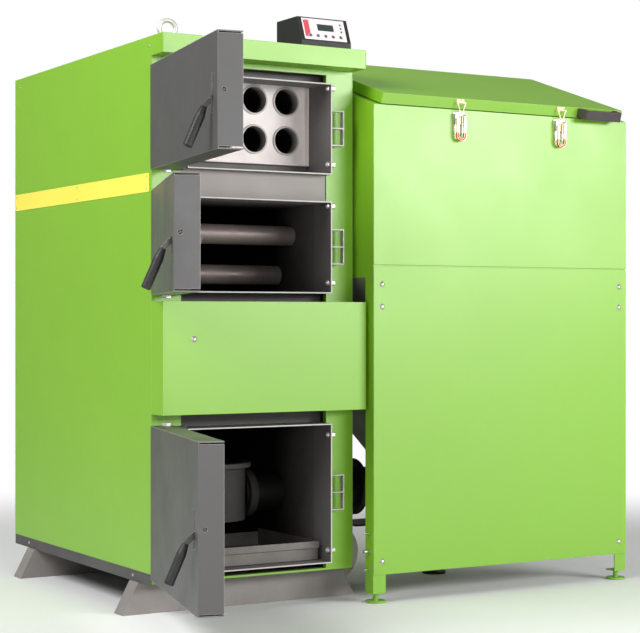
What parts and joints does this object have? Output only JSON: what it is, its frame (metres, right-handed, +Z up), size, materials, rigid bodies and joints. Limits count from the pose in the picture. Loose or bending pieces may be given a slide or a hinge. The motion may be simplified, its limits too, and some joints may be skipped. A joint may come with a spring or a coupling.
{
  "type": "pellet boiler",
  "caption": "Steel pellet boiler with fire doors hung on the left, tube heat exchanger, ash drawer and burner, and a lidded pellet hopper with a screw feeder beside it",
  "frame": {"origin": "On the floor, in the boiler's middle plane, at the middle of the front foot", "axes": "+X towards the hopper, +Y towards the back, +Z up"},
  "size_m": [1.9741, 1.8626, 1.771],
  "materials": {
    "green_coat": "satin powder coat",
    "black_steel": "matt heat-proof paint",
    "grey_steel": "mill finish",
    "grey_coat": "satin",
    "bright_steel": "zinc plated",
    "door_board": "matt",
    "rope": "woven",
    "black_plastic": "matt",
    "foil": "satin",
    "yellow_trim": "gloss",
    "ivory_coat": "satin"
  },
  "bodies": {
    "boiler": {"vessel_shell": "black_steel", "vessel_front": "black_steel", "firebox": "black_steel", "tube_plates": "grey_steel", "fire_tubes": "grey_steel", "cross_tubes": "grey_steel", "flue_outlet": "grey_steel", "water_stubs": "grey_steel", "side_panel_left": "green_coat", "side_panel_right": "green_coat", "top_cover": "green_coat", "rear_panel": "green_coat", "front_frame": "green_coat", "burner_cover": "green_coat", "side_band": "yellow_trim", "base_rails": "grey_steel", "front_foot": "grey_steel", "rear_foot": "grey_steel", "lifting_eyes": "bright_steel", "hinge_lugs": "black_steel", "keepers": "black_steel", "collar_bolts": "bright_steel", "burner_pot": "black_steel", "feeder_tube": "black_steel", "gearmotor": "black_steel", "blower_housing": "ivory_coat", "controller_case": "black_plastic", "controller_face": "foil", "hopper_bin": "green_coat", "hopper_funnel": "grey_steel", "hopper_front_panel": "green_coat", "hopper_legs": "green_coat", "lid_hinges": "bright_steel", "latch_bases": "bright_steel", "jacket_screws": "bright_steel"},
    "top_door": {"top_door_skin": "grey_coat", "top_door_board": "door_board", "top_door_seal": "rope"},
    "top_door_latch": {"top_door_lever": "bright_steel", "top_door_grip": "black_plastic"},
    "middle_door": {"middle_door_skin": "grey_coat", "middle_door_board": "door_board", "middle_door_seal": "rope"},
    "middle_door_latch": {"middle_door_lever": "bright_steel", "middle_door_grip": "black_plastic"},
    "bottom_door": {"bottom_door_skin": "grey_coat", "bottom_door_board": "door_board", "bottom_door_seal": "rope"},
    "bottom_door_latch": {"bottom_door_lever": "bright_steel", "bottom_door_grip": "black_plastic"},
    "ash_drawer": {"ash_drawer": "grey_steel"},
    "feed_auger": {"auger": "bright_steel"},
    "fan_wheel": {"impeller": "bright_steel"},
    "hopper_lid": {"hopper_lid": "green_coat", "lid_handle": "black_plastic", "latch_catches": "bright_steel"},
    "latch_lever_left": {"latch_lever_left": "bright_steel"},
    "latch_bail_left": {"latch_bail_left": "bright_steel"},
    "latch_lever_right": {"latch_lever_right": "bright_steel"},
    "latch_bail_right": {"latch_bail_right": "bright_steel"}
  },
  "joints": [
    {"name": "top_door_hinge", "type": "hinge", "parent": "boiler", "child": "top_door", "pos_m": [-0.315, -0.16, 1.442], "axis": [0, 0, 1], "range_deg": [-20, 100]},
    {"name": "top_latch_turn", "type": "hinge", "parent": "top_door", "child": "top_door_latch", "pos_m": [-0.44242, -0.73867, 1.442], "axis": [-0.1736, -0.9848, 0], "range_deg": [-60, 15]},
    {"name": "middle_door_hinge", "type": "hinge", "parent": "boiler", "child": "middle_door", "pos_m": [-0.315, -0.16, 1.082], "axis": [0, 0, 1], "range_deg": [-10, 110]},
    {"name": "middle_latch_turn", "type": "hinge", "parent": "middle_door", "child": "middle_door_latch", "pos_m": [-0.54097, -0.70775, 1.082], "axis": [-0.342, -0.9397, 0], "range_deg": [-60, 15]},
    {"name": "bottom_door_hinge", "type": "hinge", "parent": "boiler", "child": "bottom_door", "pos_m": [-0.315, -0.16, 0.336], "axis": [0, 0, 1], "range_deg": [-15.5, 104.5]},
    {"name": "bottom_latch_turn", "type": "hinge", "parent": "bottom_door", "child": "bottom_door_latch", "pos_m": [-0.48743, -0.72688, 0.336], "axis": [-0.2504, -0.9681, 0], "range_deg": [-60, 15]},
    {"name": "ash_drawer_slide", "type": "slide", "parent": "boiler", "child": "ash_drawer", "axis": [0, 1, 0], "range_m": [-0.35, 0]},
    {"name": "auger_spin", "type": "hinge", "parent": "boiler", "child": "feed_auger", "pos_m": [0.5, 0.2, 0.312], "axis": [1, 0, 0], "continuous": true},
    {"name": "fan_spin", "type": "hinge", "parent": "boiler", "child": "fan_wheel", "pos_m": [0.438, 0.2, 0.104], "axis": [0, 1, 0], "continuous": true},
    {"name": "hopper_lid_hinge", "type": "hinge", "parent": "boiler", "child": "hopper_lid", "pos_m": [0.8415, 0.26855, 1.70659], "axis": [-1, 0, 0], "range_deg": [0, 75]},
    {"name": "lid_latch_left", "type": "hinge", "parent": "boiler", "child": "latch_lever_left", "pos_m": [0.66, -0.23, 1.492], "axis": [-1, 0, 0], "range_deg": [0, 140]},
    {"name": "lid_latch_bail_left", "type": "hinge", "parent": "latch_lever_left", "child": "latch_bail_left", "pos_m": [0.66, -0.235, 1.47], "axis": [1, 0, 0], "range_deg": [0, 140]},
    {"name": "lid_latch_right", "type": "hinge", "parent": "boiler", "child": "latch_lever_right", "pos_m": [1.054, -0.23, 1.492], "axis": [-1, 0, 0], "range_deg": [0, 140]},
    {"name": "lid_latch_bail_right", "type": "hinge", "parent": "latch_lever_right", "child": "latch_bail_right", "pos_m": [1.054, -0.235, 1.47], "axis": [1, 0, 0], "range_deg": [0, 140]}
  ],
  "couplings": [
    {"joint": "lid_latch_bail_left", "follows": "lid_latch_left", "ratio": 1},
    {"joint": "lid_latch_bail_right", "follows": "lid_latch_right", "ratio": 1}
  ]
}
